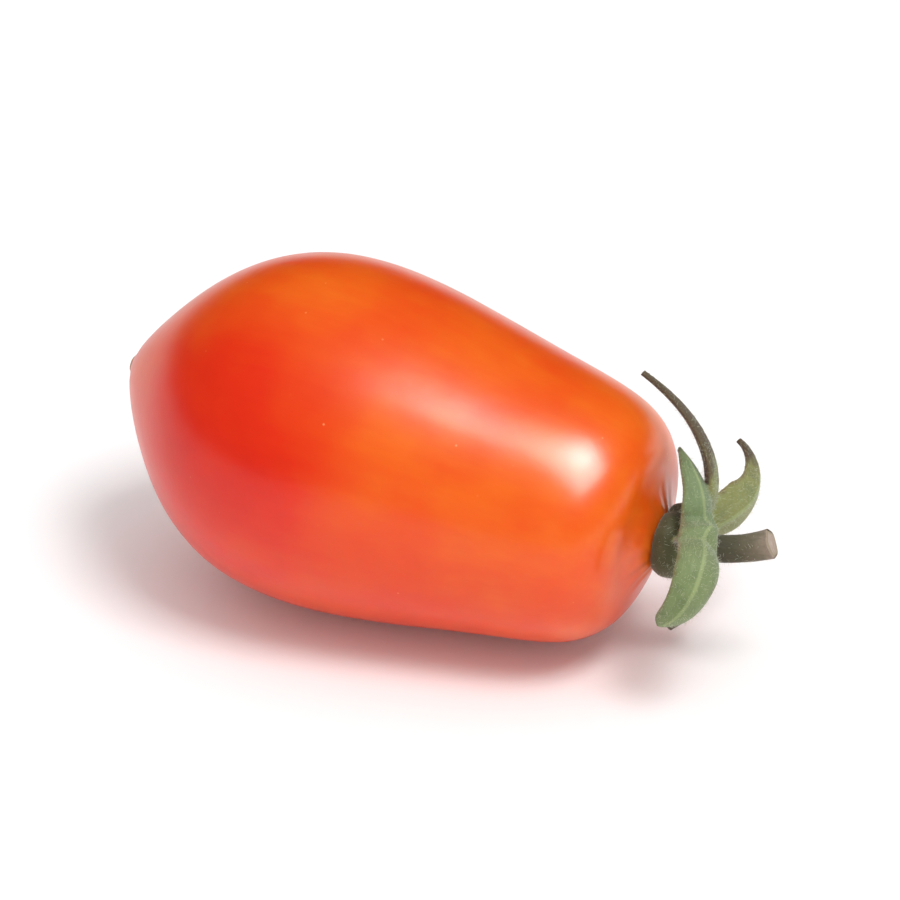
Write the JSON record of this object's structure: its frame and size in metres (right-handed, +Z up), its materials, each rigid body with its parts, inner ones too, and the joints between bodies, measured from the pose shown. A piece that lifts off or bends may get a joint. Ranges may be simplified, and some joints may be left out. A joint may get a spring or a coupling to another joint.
{
  "type": "cherry tomato",
  "caption": "Plum-shaped cherry tomato as picked, lying on its side, with its green calyx and a short cut stalk.",
  "frame": {"origin": "middle of the small flat spot that the fruit lies on", "axes": "+X along the fruit's length towards the stem end, +Z up, the side seen in the picture towards -Y"},
  "size_m": [0.0499, 0.026, 0.025],
  "materials": {
    "fruit_skin": "smooth waxy orange-red skin, stands in for tomato",
    "calyx_green": "dull, finely hairy green leaf",
    "stalk_green": "dull, finely hairy green stalk"
  },
  "bodies": {
    "root": {"fruit": "fruit_skin", "calyx": "calyx_green", "stalk": "stalk_green"}
  },
  "joints": []
}
